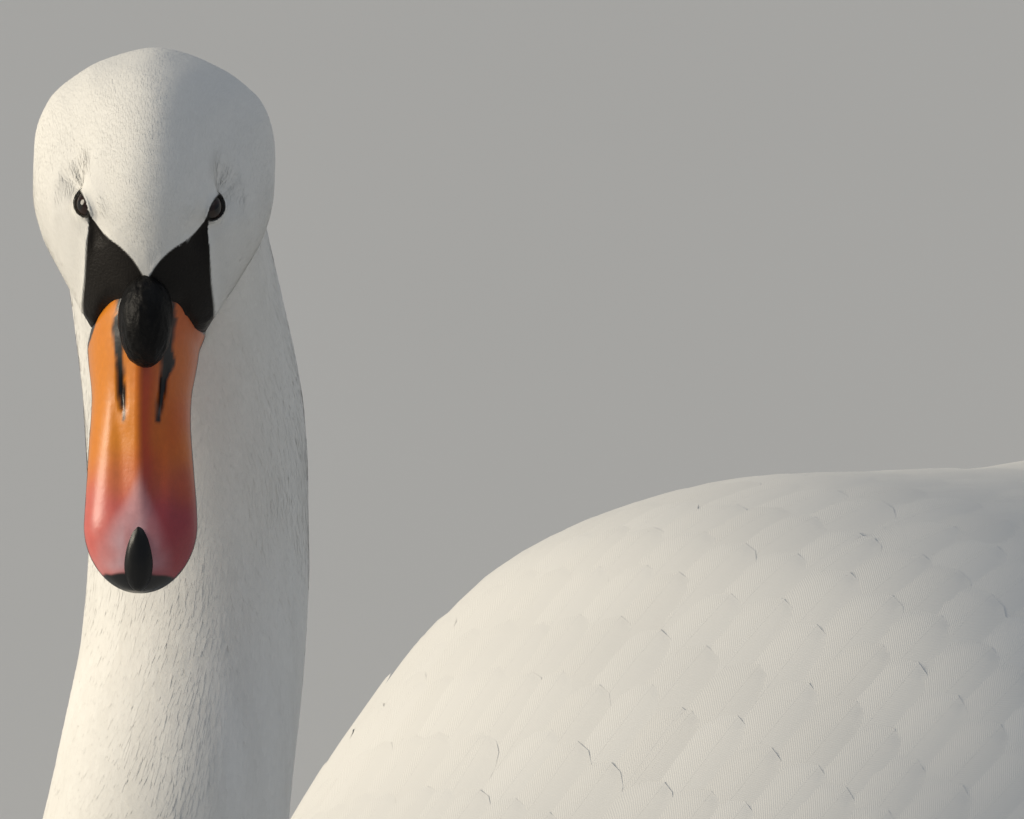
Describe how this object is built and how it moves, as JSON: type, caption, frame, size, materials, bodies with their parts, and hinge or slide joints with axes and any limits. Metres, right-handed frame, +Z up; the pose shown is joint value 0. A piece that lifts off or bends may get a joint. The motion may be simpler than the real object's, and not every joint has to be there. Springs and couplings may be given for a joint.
{
  "type": "mute swan model",
  "caption": "Life-size still model of an adult male mute swan resting on its belly, neck raised, head turned to its left with the bill lowered.",
  "frame": {"origin": "centre of the bird's box, on the plane that it rests on", "axes": "+X is the swan's left, +Y runs back from the breast to the tail, +Z is up"},
  "size_m": [0.4258, 0.879, 0.7836],
  "materials": {
    "plumage": "soft matte white feathers with a warm cream tint",
    "bill": "satin orange horn, pinker towards the tip",
    "bare_skin": "black wrinkled bare skin with a soft sheen",
    "horn": "smooth black horn",
    "eye": "wet glossy dark brown eye",
    "feet": "dark grey scaly skin"
  },
  "bodies": {
    "root": {"head": "plumage", "neck_upper": "plumage", "neck_middle": "plumage", "neck_lower": "plumage", "trunk": "plumage", "tail": "plumage", "wing_coverts_left": "plumage", "scapulars_left": "plumage", "secondaries_left": "plumage", "primaries_left": "plumage", "wing_coverts_right": "plumage", "scapulars_right": "plumage", "secondaries_right": "plumage", "primaries_right": "plumage", "bill_upper": "bill", "bill_lower": "bill", "knob": "bare_skin", "nail": "horn", "eye_left": "eye", "foot_left": "feet", "leg_left": "feet", "eye_right": "eye", "foot_right": "feet", "leg_right": "feet"}
  },
  "joints": []
}
